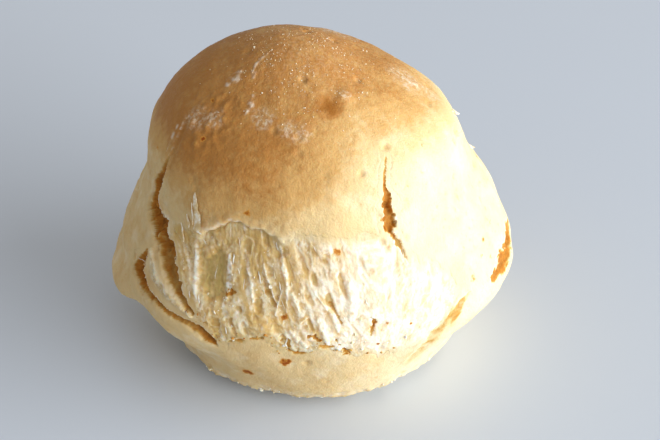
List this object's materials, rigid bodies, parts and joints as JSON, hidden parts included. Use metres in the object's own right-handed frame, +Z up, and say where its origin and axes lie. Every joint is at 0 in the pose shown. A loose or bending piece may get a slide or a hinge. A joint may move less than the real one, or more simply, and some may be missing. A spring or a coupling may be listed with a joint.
{
  "type": "breakfast biscuit",
  "caption": "Round raised breakfast biscuit with a smooth browned cap, a torn crumb side with cracks and folds, a pale base band and a flat foot to rest on.",
  "frame": {"origin": "middle of the biscuit's box, on the surface that its flat foot stands on", "axes": "+Z up from the foot to the browned cap; -Y out of the torn front; +X to the right seen from the front"},
  "size_m": [0.0794, 0.0708, 0.063],
  "materials": {
    "crust": "matte baked dough: golden brown cap dusted with flour, cream torn crumb at the side, pale tan base band"
  },
  "bodies": {
    "root": {"biscuit": "crust"}
  },
  "joints": []
}
